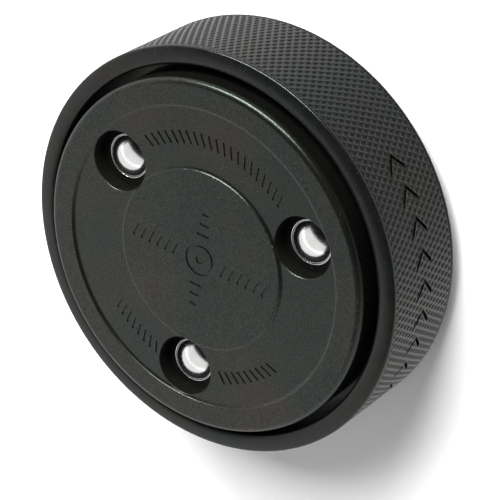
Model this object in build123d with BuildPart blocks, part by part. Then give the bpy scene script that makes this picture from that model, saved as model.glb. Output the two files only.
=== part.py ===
"""Off-ice training puck, lying flat with its rear face on Z = 0 and its axis along +Z.

A rubber tread ring has an inner web that two identical plastic disc halves grip between them.
Three bores run through the halves. Each bore holds two steel balls, one behind each face,
and each ball turns freely in a pressed steel cup whose lip shows at the bottom of a pocket.
"""

import os
from math import acos, asin, cos, degrees, radians, sin, sqrt

from build123d import *

# Overall size, in millimetres: a regulation puck is 3 in across and 1 in thick.
puck_radius = 38.1
puck_thickness = 25.4
disc_proud = 2.6  # each plastic face stands this far out of the ring
mid_height = puck_thickness / 2

# Rubber ring: a band, and a web with a thicker bead at its inner end.
band_height = puck_thickness - 2 * disc_proud
band_inner_radius = 34.7
band_crown_radius = 8.0  # each face of the band is crowned, and highest at the middle radius below
band_crown_middle = 36.0
band_outer_round = 0.5
band_inner_round = 0.6
web_thickness = 6.0
bead_thickness = 9.0
bead_inner_radius = 29.6
bead_outer_radius = 31.6

# Plastic disc halves.
disc_radius = 33.2  # leaves an open groove inside the band
disc_edge_round = 1.1
channel_inner_radius = 16.7  # the raised medallion
channel_outer_radius = 28.5
channel_depth = 0.35
channel_height = puck_thickness - channel_depth
channel_cove_radius = 0.7  # the channel's floor sweeps up into both of its walls
channel_rim_round = 0.12
grip_clearance = 0.05  # between the bead and its seat, round the axis
spigot_radius = 7.0
spigot_length = 3.0
socket_clearance = 0.05
socket_extra_depth = 0.3

# Bores, cups and balls.
bore_count = 3
bore_pitch_radius = 22.6
ball_radius = 5.5
ball_clearance = 0.06
cup_wall = 0.2
cup_fit = 0.02
cup_mouth_radius = 3.95
cup_lip_round = 0.09
lip_depth = 3.25  # from the face down to the inner edge of the cup's lip
pair_gap = 0.1  # between the two balls of one bore
pocket_radius = 5.6
pocket_chamfer = 0.15

cup_inner_radius = ball_radius + ball_clearance
cup_outer_radius = cup_inner_radius + cup_wall
cup_bore_radius = cup_outer_radius + cup_fit
lip_height = puck_thickness - lip_depth
seat_height = lip_height - sqrt(cup_inner_radius**2 - cup_mouth_radius**2)
cup_mouth_angle = degrees(acos(cup_mouth_radius / cup_inner_radius))
ball_height = mid_height + ball_radius + pair_gap / 2

# Sunk marks on the faces: plain strokes in the channel, a face-off spot on the medallion.
design_angle = -30  # direction of the medallion's long line
mark_depth = 0.2
mark_length = 2.6
mark_width = 0.45
mark_slant = 20
channel_mark_pitch = 3.8  # degrees
channel_mark_runs = ((60, 21), (-150, 8), (-84, 9))  # middle angle, number of strokes
spot_ring_radius = 3.0
spot_dot_radius = 0.8
line_stroke_start = 5.2
line_stroke_pitch = 1.75
line_stroke_count = 6
bar_start = 5.0
bar_pitch = 2.0
bar_count = 3
bar_length = 2.6
bar_length_step = 0.6

# Sunk chevrons round part of the rim.
rim_mark_count = 11
rim_mark_start = 14  # degrees
rim_mark_pitch = 8.6  # degrees
rim_mark_depth = 0.5
rim_mark_height = 4.7
rim_mark_reach = 1.9  # half its length round the rim
rim_mark_stroke = 1.0  # measured round the rim

cut_overrun = 1.0  # how far a cutting shape runs out of the piece it cuts


def crowned_height(radius):
    """Height of the band's crowned face above the puck's middle, before its edges are rounded."""
    sideways = radius - band_crown_middle
    return band_height / 2 - band_crown_radius + sqrt(band_crown_radius**2 - sideways**2)


def ring_section():
    """Half section of the rubber ring, radius along X and height along Y."""
    web_length = band_inner_radius + band_inner_round - bead_inner_radius  # runs into the band
    bead_length = bead_outer_radius - bead_inner_radius
    inner_half = crowned_height(band_inner_radius)
    outer_half = crowned_height(puck_radius)
    with BuildSketch(Plane.XZ) as section:
        with BuildLine():
            front = ThreePointArc(
                (band_inner_radius, mid_height + inner_half),
                (band_crown_middle, mid_height + band_height / 2),
                (puck_radius, mid_height + outer_half),
            )
            rear = ThreePointArc(
                (puck_radius, mid_height - outer_half),
                (band_crown_middle, mid_height - band_height / 2),
                (band_inner_radius, mid_height - inner_half),
            )
            Line(front @ 1, rear @ 0)
            Line(rear @ 1, front @ 0)
        make_face()
        fillet(section.vertices().group_by(Axis.X)[-1], band_outer_round)
        fillet(section.vertices().group_by(Axis.X)[0], band_inner_round)
        with Locations((bead_inner_radius, mid_height)):
            Rectangle(web_length, web_thickness, align=(Align.MIN, Align.CENTER))
            Rectangle(bead_length, bead_thickness, align=(Align.MIN, Align.CENTER))
    return section.sketch


def half_section():
    """Half section of one plastic disc half, from the joint plane up to its face."""
    cove_width = sqrt(channel_cove_radius**2 - (channel_cove_radius - channel_depth) ** 2)
    with BuildSketch(Plane.XZ) as section:
        with Locations((0, mid_height)):
            Rectangle(disc_radius, mid_height, align=(Align.MIN, Align.MIN))
        fillet(section.vertices().group_by(Axis.X)[-1].sort_by(Axis.Y)[-1], disc_edge_round)
        with Locations((bead_inner_radius - grip_clearance, mid_height)):
            Rectangle(
                disc_radius - bead_inner_radius + cut_overrun,
                web_thickness / 2,
                align=(Align.MIN, Align.MIN),
                mode=Mode.SUBTRACT,
            )
            Rectangle(
                bead_outer_radius - bead_inner_radius + 2 * grip_clearance,
                bead_thickness / 2,
                align=(Align.MIN, Align.MIN),
                mode=Mode.SUBTRACT,
            )
        with BuildLine():
            inner_cove = RadiusArc(
                (channel_inner_radius, puck_thickness),
                (channel_inner_radius + cove_width, channel_height),
                -channel_cove_radius,
            )
            outer_cove = RadiusArc(
                (channel_outer_radius - cove_width, channel_height),
                (channel_outer_radius, puck_thickness),
                -channel_cove_radius,
            )
            Line(inner_cove @ 1, outer_cove @ 0)
            Polyline(
                outer_cove @ 1,
                (channel_outer_radius, puck_thickness + cut_overrun),
                (channel_inner_radius, puck_thickness + cut_overrun),
                inner_cove @ 0,
            )
        make_face(mode=Mode.SUBTRACT)
        channel_rims = [
            corner
            for corner in section.vertices().group_by(Axis.Y)[-1]
            if channel_inner_radius - cut_overrun < corner.X < channel_outer_radius + cut_overrun
        ]
        fillet(channel_rims, channel_rim_round)
    return section.sketch


def bore_shape():
    """The space that one bore takes out of a disc half: cup seat, lip hole and pocket."""
    floor_angle = degrees(asin((lip_height - seat_height) / cup_bore_radius))
    mouth_radius = pocket_radius + pocket_chamfer
    with BuildPart() as bore:
        with BuildSketch(Plane.XZ):
            with BuildLine():
                seat_arc = CenterArc((0, seat_height), cup_bore_radius, 0, floor_angle)
                Polyline(
                    seat_arc @ 1,
                    (pocket_radius, lip_height),
                    (pocket_radius, channel_height - pocket_chamfer),
                    (mouth_radius, channel_height),
                    (mouth_radius, puck_thickness + cut_overrun),
                    (0, puck_thickness + cut_overrun),
                    (0, mid_height - cut_overrun),
                    (cup_bore_radius, mid_height - cut_overrun),
                    seat_arc @ 0,
                )
            make_face()
        revolve(axis=Axis.Z)
    return bore.part


def channel_marks():
    """The runs of slanted strokes in the channel, seen from the front."""
    with BuildSketch(Plane.XY.offset(channel_height)) as strokes:
        for middle, count in channel_mark_runs:
            for number in range(count):
                angle = middle + (number - (count - 1) / 2) * channel_mark_pitch
                with PolarLocations(bore_pitch_radius, 1, start_angle=angle):
                    SlotOverall(mark_length, mark_width, rotation=mark_slant)
    return strokes.sketch


def medallion_marks():
    """A face-off spot with a line of strokes across it and bars above and below it."""
    with BuildSketch(Plane.XY.offset(puck_thickness).rotated((0, 0, design_angle))) as spot:
        Circle(spot_ring_radius)
        Circle(spot_ring_radius - mark_width, mode=Mode.SUBTRACT)
        Circle(spot_dot_radius)
        for side in (-1, 1):
            for number in range(line_stroke_count):
                with Locations((side * (line_stroke_start + number * line_stroke_pitch), 0)):
                    SlotOverall(mark_length, mark_width, rotation=90 - mark_slant)
            for number in range(bar_count):
                with Locations((0, side * (bar_start + number * bar_pitch))):
                    SlotOverall(bar_length - number * bar_length_step, mark_width)
    return spot.sketch


def disc_half():
    """One moulded half, as it sits at the front of the puck."""
    section, bore = half_section(), bore_shape()
    marks = channel_marks(), medallion_marks()
    with BuildPart() as half:
        add(section)
        revolve(axis=Axis.Z)
        with PolarLocations(bore_pitch_radius, bore_count):
            add(bore, mode=Mode.SUBTRACT)
        for sketch in marks:
            extrude(sketch, amount=-mark_depth, mode=Mode.SUBTRACT)
    return half.part


def ball_cup():
    """One pressed cup at the front, on the puck's own axis."""
    with BuildPart() as cup:
        with BuildSketch(Plane.XZ) as wall:
            with BuildLine():
                inner_arc = CenterArc((0, seat_height), cup_inner_radius, 0, cup_mouth_angle)
                outer_arc = CenterArc((0, seat_height), cup_outer_radius, 0, cup_mouth_angle)
                Line(inner_arc @ 1, outer_arc @ 1)
                Polyline(
                    inner_arc @ 0,
                    (cup_inner_radius, mid_height),
                    (cup_outer_radius, mid_height),
                    outer_arc @ 0,
                )
            make_face()
            fillet(wall.vertices().group_by(Axis.X)[0:2], cup_lip_round)
        revolve(axis=Axis.Z)
    return cup.part


os.makedirs("parts", exist_ok=True)

# Rubber ring with the rim chevrons.
with BuildPart() as outer_ring:
    add(ring_section())
    revolve(axis=Axis.Z)
    for number in range(rim_mark_count):
        angle = rim_mark_start - number * rim_mark_pitch
        outward = Vector(cos(radians(angle)), sin(radians(angle)), 0)
        floor_centre = outward * (puck_radius - rim_mark_depth) + Vector(0, 0, mid_height)
        with BuildSketch(Plane(origin=floor_centre, x_dir=Vector(0, 0, 1).cross(outward), z_dir=outward)):
            half_height = rim_mark_height / 2
            Polygon(
                (-rim_mark_reach, half_height),
                (-rim_mark_reach + rim_mark_stroke, half_height),
                (rim_mark_reach, 0),
                (-rim_mark_reach + rim_mark_stroke, -half_height),
                (-rim_mark_reach, -half_height),
                (rim_mark_reach - rim_mark_stroke, 0),
                align=None,
            )
        extrude(amount=2 * rim_mark_depth, mode=Mode.SUBTRACT)
outer_ring.part.label = "outer_ring"
export_step(outer_ring.part, "parts/outer_ring.step")

# Front disc half, with the spigot that centres it in the rear half.
with BuildPart() as front_disc:
    add(disc_half())
    with BuildSketch(Plane.XY.offset(mid_height)):
        Circle(spigot_radius)
    extrude(amount=-spigot_length)
front_disc.part.label = "front_disc"
export_step(front_disc.part, "parts/front_disc.step")

# Rear disc half: the same moulding turned over, with a socket for the spigot.
with BuildPart() as rear_disc:
    with Locations((0, 0, puck_thickness)):
        add(disc_half(), rotation=(180, 0, 0))
    with BuildSketch(Plane.XY.offset(mid_height)):
        Circle(spigot_radius + socket_clearance)
    extrude(amount=-(spigot_length + socket_extra_depth), mode=Mode.SUBTRACT)
rear_disc.part.label = "rear_disc"
export_step(rear_disc.part, "parts/rear_disc.step")

# Cups and balls, a front and a rear one in each bore.
for bore_number in range(bore_count):
    bore_angle = bore_number * 360 / bore_count
    for side, turn in (("front", 0), ("rear", 180)):
        with BuildPart() as cup:
            with PolarLocations(bore_pitch_radius, 1, start_angle=bore_angle):
                with Locations((0, 0, 0 if side == "front" else puck_thickness)):
                    add(ball_cup(), rotation=(turn, 0, 0))
        cup.part.label = f"{side}_cup_{bore_number + 1}"
        export_step(cup.part, f"parts/{cup.part.label}.step")

        with BuildPart() as ball:
            with PolarLocations(bore_pitch_radius, 1, start_angle=bore_angle):
                with Locations((0, 0, ball_height if side == "front" else puck_thickness - ball_height)):
                    Sphere(ball_radius)
        ball.part.label = f"{side}_ball_{bore_number + 1}"
        export_step(ball.part, f"parts/{ball.part.label}.step")
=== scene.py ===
"""Looks of the training puck: knurled rubber ring, satin plastic halves, steel cups and balls."""

from math import acos, cos, degrees, pi, radians, sin, sqrt

import bpy
import numpy as np
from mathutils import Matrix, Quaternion, Vector


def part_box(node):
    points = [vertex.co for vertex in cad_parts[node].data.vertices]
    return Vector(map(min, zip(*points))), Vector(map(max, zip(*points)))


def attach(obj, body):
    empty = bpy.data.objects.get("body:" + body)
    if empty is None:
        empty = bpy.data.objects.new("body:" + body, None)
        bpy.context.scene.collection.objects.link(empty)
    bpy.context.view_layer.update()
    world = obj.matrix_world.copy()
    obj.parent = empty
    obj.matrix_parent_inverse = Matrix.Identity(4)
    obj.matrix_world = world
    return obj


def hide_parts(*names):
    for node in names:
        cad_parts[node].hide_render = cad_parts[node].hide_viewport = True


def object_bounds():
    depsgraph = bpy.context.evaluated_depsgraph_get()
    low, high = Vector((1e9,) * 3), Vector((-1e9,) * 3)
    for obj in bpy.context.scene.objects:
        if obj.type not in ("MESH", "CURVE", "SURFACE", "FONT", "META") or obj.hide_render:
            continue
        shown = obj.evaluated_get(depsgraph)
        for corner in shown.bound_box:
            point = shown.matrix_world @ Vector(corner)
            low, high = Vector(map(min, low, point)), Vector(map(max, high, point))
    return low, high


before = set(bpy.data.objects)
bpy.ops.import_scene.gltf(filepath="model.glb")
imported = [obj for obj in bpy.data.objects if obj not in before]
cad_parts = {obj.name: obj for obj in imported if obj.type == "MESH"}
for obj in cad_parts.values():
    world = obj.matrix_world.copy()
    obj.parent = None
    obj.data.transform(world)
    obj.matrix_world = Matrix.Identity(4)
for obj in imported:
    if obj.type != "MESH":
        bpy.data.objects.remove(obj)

MM = 0.001
cad_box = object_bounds()
puck_low, puck_high = cad_box
mid_height = (puck_low.z + puck_high.z) / 2 / MM  # in millimetres, as are all sizes of the ring

# The ring's section, as in the part.
rim_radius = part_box("outer_ring")[1].x / MM
band_inner_radius = 34.7
band_half_height = 10.1
band_crown_radius = 8.0
band_crown_middle = 36.0
band_outer_round = 0.5
band_inner_round = 0.6
half_web = 3.0
half_bead = 4.5
bead_inner_radius = 29.6
bead_outer_radius = 31.6

# Bores and the pockets over them, as in the part.
bore_count = 3
bore_pitch_radius = 22.6
pocket_radius = 5.6
pocket_margin = 0.03  # takes in the pocket's own wall

# Knurl: two crossing families of helical ridges with sunk diamond cells between them.
knurl_cells = 168
knurl_cell_height = 2.33
knurl_steps = 8  # columns of the grid to a cell, and rows to a cell's height
knurl_rows = 64
knurl_depth = 0.16
knurl_fade = 0.3
crest_half_width = 0.06  # of a ridge, as a share of the pitch
flank_end = 0.27
rim_columns = knurl_cells * knurl_steps
coarse_ratio = 6  # columns of the rim's grid to one of the plain rings round the rest
plain_columns = rim_columns // coarse_ratio
grid_half = knurl_rows / 2 / knurl_steps * knurl_cell_height

# Rim chevrons, as in the part, with a plain border round each.
mark_count = 11
mark_start = 14
mark_pitch = 8.6
mark_depth = 0.5
mark_half_height = 2.35
mark_reach = 1.9
mark_stroke = 1.0
mark_border = 0.25

# A fine sunk line borders the knurl at the front and the rear, one row in from the grid's end.
line_depth = 0.14
line_half_width = knurl_cell_height / knurl_steps
line_height = grid_half - line_half_width

sharp_angle = 50  # degrees between faces from which the ring's mesh has a sharp edge


def rounding_place(radius, rounding):
    """Centre of a rounding under the band's crowned face, and where it meets the face, in degrees."""
    reach = band_crown_radius - rounding
    sideways = radius - band_crown_middle
    height = band_half_height - band_crown_radius + sqrt(reach**2 - sideways**2)
    return (radius, height), degrees(acos(sideways / reach))


outer_centre, outer_meet = rounding_place(rim_radius - band_outer_round, band_outer_round)
inner_centre, inner_meet = rounding_place(band_inner_radius + band_inner_round, band_inner_round)


def smooth_step(low, high, value):
    """0 at low, 1 at high, eased at both ends; low may be above high."""
    t = np.clip((value - low) / (high - low), 0, 1)
    return t * t * (3 - 2 * t)


def ridge_shape(phase):
    """Height of one ridge family, 1 on the crest and 0 in the cell."""
    away = np.abs(phase - np.round(phase))
    return 1 - smooth_step(crest_half_width, flank_end, away)


def mark_distance(angle, height):
    """Millimetres outside the nearest chevron's edge, negative inside it."""
    slope = mark_half_height / (2 * mark_reach - mark_stroke)
    across = slope / sqrt(1 + slope * slope)
    nearest = np.full_like(angle, rim_radius)
    for number in range(mark_count):
        turn = (angle - radians(mark_start - number * mark_pitch) + pi) % (2 * pi) - pi
        spine = mark_reach - mark_stroke / 2 - np.abs(height) / slope
        off_spine = (np.abs(turn * rim_radius - spine) - mark_stroke / 2) * across
        nearest = np.minimum(nearest, np.maximum(off_spine, np.abs(height) - mark_half_height))
    return nearest


def rim_depth(angle, height):
    """How far the rim lies under its full radius, from the knurl and the lines beside it."""
    u = angle / (2 * pi) * knurl_cells
    w = height / knurl_cell_height
    ridges = np.maximum(ridge_shape(u + w), ridge_shape(u - w))
    margin = smooth_step(grid_half, grid_half - knurl_fade, np.abs(height))
    border = smooth_step(mark_border / 2, mark_border, mark_distance(angle, height))
    edge_line = line_depth * smooth_step(line_half_width, 0, np.abs(np.abs(height) - line_height))
    return np.maximum(knurl_depth * (1 - ridges) * margin * border, edge_line)


def round_corner(centre, radius, start, end, count):
    """Points of an arc in the radius and height plane, angles in degrees."""
    turns = [radians(start + (end - start) * step / count) for step in range(count + 1)]
    return [(centre[0] + radius * cos(turn), centre[1] + radius * sin(turn)) for turn in turns]


def ring_side():
    """Upper half of the ring's section, from the edge of the rim's grid to the middle of the bead."""
    crown_centre = (band_crown_middle, band_half_height - band_crown_radius)
    points = round_corner(outer_centre, band_outer_round, 0, outer_meet, 7)
    points += round_corner(crown_centre, band_crown_radius, outer_meet, inner_meet, 4)[1:-1]
    points += round_corner(inner_centre, band_inner_round, inner_meet, 180, 4)
    points += [
        (band_inner_radius, half_web),
        (bead_outer_radius, half_web),
        (bead_outer_radius, half_bead),
        (bead_inner_radius, half_bead),
    ]
    return points


def add_object(name, data):
    obj = bpy.data.objects.new(name, data)
    bpy.context.scene.collection.objects.link(obj)
    return obj


def chevron_cutter():
    """Prisms that sink the chevrons into the rim."""
    outline = [
        (-mark_reach, mark_half_height),
        (mark_reach - mark_stroke, 0),
        (-mark_reach, -mark_half_height),
        (mark_stroke - mark_reach, -mark_half_height),
        (mark_reach, 0),
        (mark_stroke - mark_reach, mark_half_height),
    ]
    count = len(outline)
    points, faces = [], []
    for number in range(mark_count):
        angle = radians(mark_start - number * mark_pitch)
        outward = Vector((cos(angle), sin(angle), 0))
        along = Vector((0, 0, 1)).cross(outward)
        first = len(points)
        for radius in (rim_radius - mark_depth, rim_radius + mark_depth):
            for x, y in outline:
                points.append((outward * radius + along * x + Vector((0, 0, y + mid_height))) * MM)
        faces.append([first + k for k in reversed(range(count))])
        faces.append([first + count + k for k in range(count)])
        for k in range(count):
            after = (k + 1) % count
            faces.append([first + k, first + after, first + count + after, first + count + k])
    mesh = bpy.data.meshes.new("chevron_cutter")
    mesh.from_pydata(points, [], faces)
    return add_object("chevron_cutter", mesh)


def cut_chevrons(ring):
    """Take the cutter out of the ring's mesh for good, then remove the cutter."""
    cutter = chevron_cutter()
    cut = ring.modifiers.new("chevrons", "BOOLEAN")
    cut.operation = "DIFFERENCE"
    cut.solver = "EXACT"
    cut.object = cutter
    depsgraph = bpy.context.evaluated_depsgraph_get()
    mesh = bpy.data.meshes.new_from_object(ring.evaluated_get(depsgraph))
    ring.modifiers.clear()
    ring.data = mesh
    mesh.name = ring.name
    bpy.data.objects.remove(cutter)


def rim_points():
    """The rim's grid, row by row, from the rear up."""
    turn = np.arange(rim_columns) / rim_columns * 2 * pi
    row = np.arange(knurl_rows + 1) - knurl_rows // 2
    angle, height = np.meshgrid(turn, row / knurl_steps * knurl_cell_height)
    radius = rim_radius - rim_depth(angle, height)
    points = [radius * np.cos(angle), radius * np.sin(angle), height + mid_height]
    return np.stack(points, axis=-1).reshape(-1, 3)


def rim_faces():
    """Two triangles to each cell of the grid, split along the nearer ridge."""
    faces = []
    column = np.arange(rim_columns)
    for line in range(knurl_rows):
        level = line - knurl_rows // 2
        here = line * rim_columns + column
        there = line * rim_columns + (column + 1) % rim_columns
        above, above_there = here + rim_columns, there + rim_columns
        rising = (column - level) % knurl_steps
        falling = (column + level + 1) % knurl_steps
        rising = np.minimum(rising, knurl_steps - rising)
        falling = np.minimum(falling, knurl_steps - falling)
        on_falling = falling <= rising
        for triangle, split in (
            ((here, there, above), True),
            ((there, above_there, above), True),
            ((here, there, above_there), False),
            ((here, above_there, above), False),
        ):
            faces += np.stack(triangle, axis=-1)[on_falling == split].tolist()
    return faces


def plain_points(section):
    """A ring of points for each point of the section."""
    turn = np.arange(plain_columns) / plain_columns * 2 * pi
    rings = []
    for r, h in section:
        level = np.full(plain_columns, h + mid_height)
        rings.append(np.stack([r * np.cos(turn), r * np.sin(turn), level], axis=-1))
    return np.concatenate(rings)


def plain_faces(first, ring_count):
    """Bands between the plain rings, and from the first and last to the edges of the rim's grid."""
    columns = [(k, (k + 1) % plain_columns) for k in range(plain_columns)]
    faces = []
    for number in range(ring_count - 1):
        lower = first + number * plain_columns
        upper = lower + plain_columns
        faces += [[lower + k, lower + after, upper + after, upper + k] for k, after in columns]
    top_row = knurl_rows * rim_columns
    last = first + (ring_count - 1) * plain_columns
    for k, after in columns:
        fine = [(k * coarse_ratio + step) % rim_columns for step in range(coarse_ratio + 1)]
        faces.append([top_row + f for f in fine] + [first + after, first + k])
        faces.append([last + k, last + after] + fine[::-1])
    return faces


def knurled_ring():
    """One closed mesh: a fine triangle grid on the rim, coarser rings round the rest."""
    side = ring_side()
    section = side + [(r, -h) for r, h in reversed(side)]
    rim = rim_points()
    points = np.concatenate([rim, plain_points(section)]) * MM
    mesh = bpy.data.meshes.new("knurled_ring")
    mesh.from_pydata(points.tolist(), [], rim_faces() + plain_faces(len(rim), len(section)))
    mesh.validate()
    mesh.update()
    ring = add_object("knurled_ring", mesh)
    cut_chevrons(ring)
    ring.data.shade_smooth()
    ring.data.set_sharp_from_angle(angle=radians(sharp_angle))
    return ring


# Materials. Their lengths are in metres.


class Graph:
    """A short way to add and join the nodes of one tree."""

    def __init__(self, tree, coordinates):
        self.tree = tree
        self.place = tree.nodes.new("ShaderNodeTexCoord").outputs[coordinates]

    def add(self, kind, inputs=(), **settings):
        node = self.tree.nodes.new("ShaderNode" + kind)
        for name, value in settings.items():
            setattr(node, name, value)
        for name, value in dict(inputs).items():
            self.put(node.inputs[name], value)
        return node

    def put(self, socket, value):
        if isinstance(value, bpy.types.NodeSocket):
            self.tree.links.new(value, socket)
        else:
            socket.default_value = value

    def math(self, operation, first, second):
        """One number made from two."""
        return self.add("Math", {0: first, 1: second}, operation=operation).outputs["Value"]

    def vector(self, operation, first, second):
        """A vector made from two, or a number where the operation is a dot product."""
        node = self.add("VectorMath", {0: first, 1: second}, operation=operation)
        return node.outputs["Value" if operation == "DOT_PRODUCT" else "Vector"]

    def span(self, value, low, high, to_low, to_high, **settings):
        """The value carried from one range over to another, and held at its ends."""
        ends = {"From Min": low, "From Max": high, "To Min": to_low, "To Max": to_high}
        return self.add("MapRange", {"Value": value, **ends}, **settings).outputs["Result"]


class Surface(Graph):
    """A new material, with the patterns and mixes that the puck's finishes need."""

    def __init__(self, name):
        self.material = bpy.data.materials.new(name)
        self.material.use_nodes = True
        super().__init__(self.material.node_tree, "Object")
        self.shader = self.tree.nodes["Principled BSDF"]

    def finish(self, **values):
        """Set the shader's inputs; an underscore stands for a space in a name."""
        for name, value in values.items():
            self.put(self.shader.inputs[name.replace("_", " ")], value)
        return self.material

    def noise(self, scale, detail=3.0):
        inputs = {"Vector": self.place, "Scale": scale, "Detail": detail, "Roughness": 0.55}
        return self.add("TexNoise", inputs).outputs["Fac"]

    def drift(self, scale, low=0, high=1, detail=3.0):
        """A value that wanders between two levels."""
        return self.span(self.noise(scale, detail), 0.3, 0.7, low, high)

    def specks(self, scale, low, high):
        """1 in the small dots where fine noise peaks past high, 0 under low."""
        return self.span(self.noise(scale, 1.0), low, high, 0, 1)

    def mix(self, factor, first, second):
        """A colour between two."""
        node = self.add("Mix", {0: factor, 6: first, 7: second}, data_type="RGBA")
        return node.outputs[2]

    def blend(self, factor, first, second):
        """A number between two."""
        return self.add("Mix", {0: factor, 2: first, 3: second}).outputs[0]

    def grain(self, scale, detail, distance):
        """The surface roughened by noise of the depth given."""
        inputs = {"Height": self.noise(scale, detail), "Distance": distance, "Strength": 0.5}
        return self.add("Bump", inputs).outputs["Normal"]

    def radius(self, centre=(0, 0, 0)):
        """Distance of the shaded point from an upright axis."""
        flat = self.vector("MULTIPLY", self.vector("SUBTRACT", self.place, centre), (1, 1, 0))
        return self.add("VectorMath", {0: flat}, operation="LENGTH").outputs["Value"]

    def near_bore(self, reach):
        """1 within reach of a bore's axis, else 0."""
        nearest = 1.0
        for number in range(bore_count):
            turn = 2 * pi * number / bore_count
            centre = Vector((cos(turn), sin(turn), 0)) * bore_pitch_radius * MM
            nearest = self.math("MINIMUM", nearest, self.radius(centre))
        return self.math("LESS_THAN", nearest, reach)


def grey(level, tint=(1.0, 1.0, 1.0)):
    """An opaque colour of one level, tinted."""
    return (level * tint[0], level * tint[1], level * tint[2], 1.0)


def rubber_material():
    """Near black, with the knurl's crests painted lighter than its cells as a painted highlight, dust
    specks and a faint drift of colour.
    """
    skin = Surface("knurled_rubber")
    # Painted highlight and shade: the crests get a lighter colour than the sunk cells between them.
    crest = skin.span(skin.radius(), (rim_radius - knurl_depth) * MM, rim_radius * MM, 0, 1)
    body = skin.mix(skin.drift(420), grey(0.002, (1, 1.05, 1.02)), grey(0.004, (1, 1.05, 1.03)))
    painted_crest_highlight = skin.mix(crest, body, grey(0.007, (1, 1.04, 1.02)))
    cool, warm = grey(1, (0.86, 1.02, 1.04)), grey(1, (1.08, 1.02, 0.92))
    return skin.finish(
        Base_Color=skin.mix(skin.specks(2600, 0.745, 0.77), painted_crest_highlight, grey(0.03)),
        Roughness=skin.drift(900, 0.19, 0.28),
        Normal=skin.grain(5200, 2.0, 0.00003),
        Specular_IOR_Level=0.4,
        Specular_Tint=skin.mix(skin.drift(50, detail=2.0), cool, warm),
    )


def plastic_material():
    """Satin black with a fine grain, patches greener and browner, and painted shade in the ball
    pockets.
    """
    skin = Surface("satin_plastic")
    pocket = skin.near_bore((pocket_radius + pocket_margin) * MM)
    cloud = skin.drift(60, detail=2.0)
    body = skin.mix(cloud, grey(0.002, (1.0, 1.08, 0.9)), grey(0.004, (1.05, 1.03, 0.95)))
    green, brown = grey(1, (0.82, 1.05, 0.94)), grey(1, (1.1, 1.0, 0.93))
    return skin.finish(
        Base_Color=skin.mix(skin.specks(2100, 0.755, 0.775), body, grey(0.025)),
        # Painted shade: inside the pockets the walls are made rough and barely reflective, so they stay
        # dark.
        Roughness=skin.blend(pocket, skin.drift(700, 0.27, 0.34), 0.55),
        Normal=skin.grain(3600, 3.0, 0.00002),
        Specular_IOR_Level=skin.blend(pocket, skin.drift(3800, 0.32, 0.76, detail=2.0), 0.12),
        Specular_Tint=skin.mix(cloud, green, brown),
    )


def steel_material(name, level, low_rough, high_rough):
    """Bright steel under a thin uneven film."""
    skin = Surface(name)
    filmed = grey(level * 0.93, (1, 0.995, 0.98))
    return skin.finish(
        Metallic=1.0,
        Base_Color=skin.mix(skin.drift(700), grey(level), filmed),
        Roughness=skin.drift(1600, low_rough, high_rough),
    )


def dress(node, material):
    """Give a CAD node its material."""
    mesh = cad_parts[node].data
    mesh.materials.clear()
    mesh.materials.append(material)


rubber = rubber_material()
plastic = plastic_material()
cup_steel = steel_material("cup_steel", 0.6, 0.16, 0.22)
ball_steel = steel_material("ball_steel", 0.8, 0.15, 0.2)

ring = knurled_ring()
ring.data.materials.append(rubber)
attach(ring, "puck")
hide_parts("outer_ring")

for side in ("front", "rear"):
    dress(f"{side}_disc", plastic)
    for number in (1, 2, 3):
        dress(f"{side}_cup_{number}", cup_steel)
        dress(f"{side}_ball_{number}", ball_steel)


# Floor, light and camera. Distances and sizes are in metres, angles in degrees, power in watts.
floor_half_size = 0.8
floor_gap = 0.00002  # keeps the floor off the face that the puck lies on

view_azimuth = 19.41
view_elevation = 48.09
view_roll = -121.74
view_distance = 0.3942
view_target = Vector((1.0, -3.0, 12.7)) * MM
view_lens = 158.6  # millimetres, on a sensor 36 wide

# Dim areas of the studio: azimuth and elevation of the middle, the angles from it at which the
# light starts to fall and is down, and the share of it that is left there.
dim_areas = (
    (45, 25, 62, 49, 0.12),
    (30, 58, 74.5, 59, 0.1),
    (19, 0, 96, 45, 0.36),
    (232, -40, 34, 10, 0.6),
)


def direction(azimuth, elevation):
    """Unit vector at an azimuth from +X and an elevation over the floor."""
    flat = cos(radians(elevation))
    return Vector((flat * cos(radians(azimuth)), flat * sin(radians(azimuth)), sin(radians(elevation))))


def floor():
    """A pale square under the puck that nothing shiny reflects."""
    size, level = floor_half_size, puck_low.z - floor_gap
    mesh = bpy.data.meshes.new("floor")
    corners = [(-size, -size, level), (size, -size, level), (size, size, level), (-size, size, level)]
    mesh.from_pydata(corners, [], [(0, 1, 2, 3)])
    mesh.materials.append(Surface("pale_floor").finish(Base_Color=grey(0.85), Roughness=0.8))
    obj = add_object("floor", mesh)
    obj.visible_glossy = False


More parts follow.
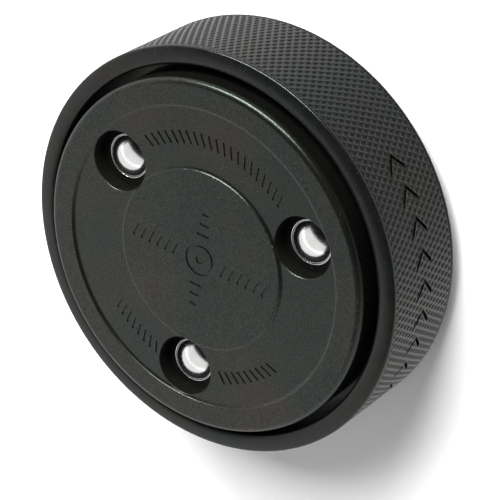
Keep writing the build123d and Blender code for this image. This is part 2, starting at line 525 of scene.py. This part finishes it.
def studio_world():
    """White to the camera. As light it is white too, but for the dim areas."""
    world = bpy.data.worlds.new("studio")
    bpy.context.scene.world = world
    world.use_nodes = True
    sky = Graph(world.node_tree, "Generated")
    level = 1.0
    for azimuth, elevation, outer, inner, dimmed in dim_areas:
        toward = sky.vector("DOT_PRODUCT", sky.place, direction(azimuth, elevation))
        ends = cos(radians(outer)), cos(radians(inner))
        fall = sky.span(toward, *ends, 1.0, dimmed, interpolation_type="SMOOTHSTEP")
        level = sky.math("MULTIPLY", level, fall)
    background = sky.tree.nodes["Background"]
    seen = sky.add("LightPath").outputs["Is Camera Ray"]
    sky.put(background.inputs["Color"], (1, 1, 1, 1))
    sky.put(background.inputs["Strength"], sky.math("MAXIMUM", level, seen))


def panel(name, way, distance, size, power):
    """A rectangle of light that faces the origin from the direction given."""
    light = bpy.data.lights.new(name, "AREA")
    light.shape = "RECTANGLE"
    light.size, light.size_y = size
    light.energy = power
    obj = add_object(name, light)
    obj.location = way * distance
    obj.rotation_mode = "QUATERNION"
    obj.rotation_quaternion = (-obj.location).to_track_quat("-Z", "Y")
    return obj


def studio_lights():
    """A low key that draws the edges, two fills for the floor and a glow on the steel alone."""
    panel("key", direction(74, 27), 1.0, (0.85, 0.17), 17)
    fill = panel("fill", direction(72, 44), 1.6, (0.8, 0.8), 42)
    near_fill = panel("near_fill", direction(5, 40), 1.6, (1.4, 1.4), 6)
    fill.visible_glossy = near_fill.visible_glossy = False
    glow = panel("steel_glow", direction(210, 76), 0.8, (1.7, 0.72), 3.2)
    steel = bpy.data.collections.new("steel")
    for side in ("front", "rear"):
        for number in (1, 2, 3):
            for kind in ("ball", "cup"):
                steel.objects.link(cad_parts[f"{side}_{kind}_{number}"])
    glow.light_linking.receiver_collection = steel


def camera():
    """Looks at the puck from 42 degrees off its axis, with bore 1 at the right of the picture."""
    lens = bpy.data.cameras.new("camera")
    lens.lens = view_lens
    lens.clip_start = 0.01
    obj = add_object("camera", lens)
    back = direction(view_azimuth, view_elevation)
    obj.location = view_target + back * view_distance
    obj.rotation_mode = "QUATERNION"
    level_view = (-back).to_track_quat("-Z", "Y")
    obj.rotation_quaternion = level_view @ Quaternion((0, 0, 1), radians(view_roll))
    bpy.context.scene.camera = obj


floor()
studio_world()
studio_lights()
camera()
bpy.context.scene.view_settings.view_transform = "Standard"
